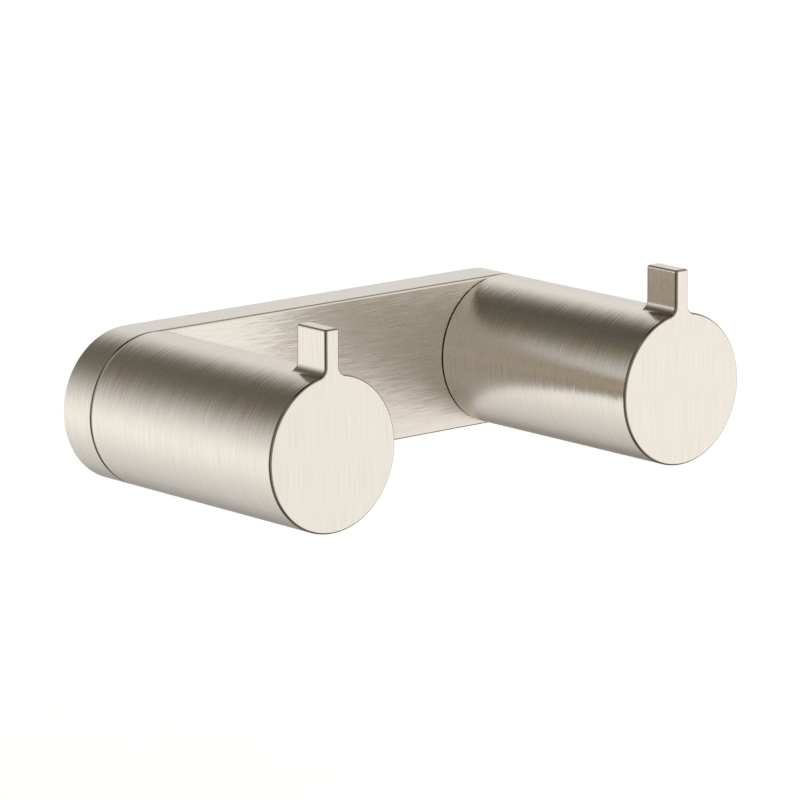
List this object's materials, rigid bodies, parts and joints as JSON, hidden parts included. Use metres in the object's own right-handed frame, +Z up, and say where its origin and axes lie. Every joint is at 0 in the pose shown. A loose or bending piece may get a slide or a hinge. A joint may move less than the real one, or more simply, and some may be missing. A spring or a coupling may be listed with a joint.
{
  "type": "double robe hook",
  "caption": "Wall hook for robes and towels: a slim plate with round ends carries thick round posts, each with a small upright tab at its front that keeps a loop from sliding off.",
  "frame": {"origin": "centre of the back of the mounting rail, on the wall's surface, midway between the posts and at their height", "axes": "+X along the plate, to the right for someone who faces the hook; +Y into the wall; +Z up"},
  "size_m": [0.11, 0.058, 0.036],
  "materials": {
    "brushed_nickel": "satin brushed nickel plate on cast zinc",
    "rail_aluminium": "extruded, mill finish",
    "zinc_plated_steel": "zinc plated",
    "ground_steel": "ground",
    "stainless_steel": "turned stainless steel"
  },
  "bodies": {
    "root": {"back_plate": "brushed_nickel", "hook_post_left": "brushed_nickel", "hook_post_right": "brushed_nickel", "mounting_rail": "rail_aluminium", "post_screw_left": "zinc_plated_steel", "post_screw_right": "zinc_plated_steel", "post_dowel_left": "ground_steel", "post_dowel_right": "ground_steel", "grub_screw_left": "stainless_steel", "grub_screw_right": "stainless_steel"}
  },
  "joints": []
}
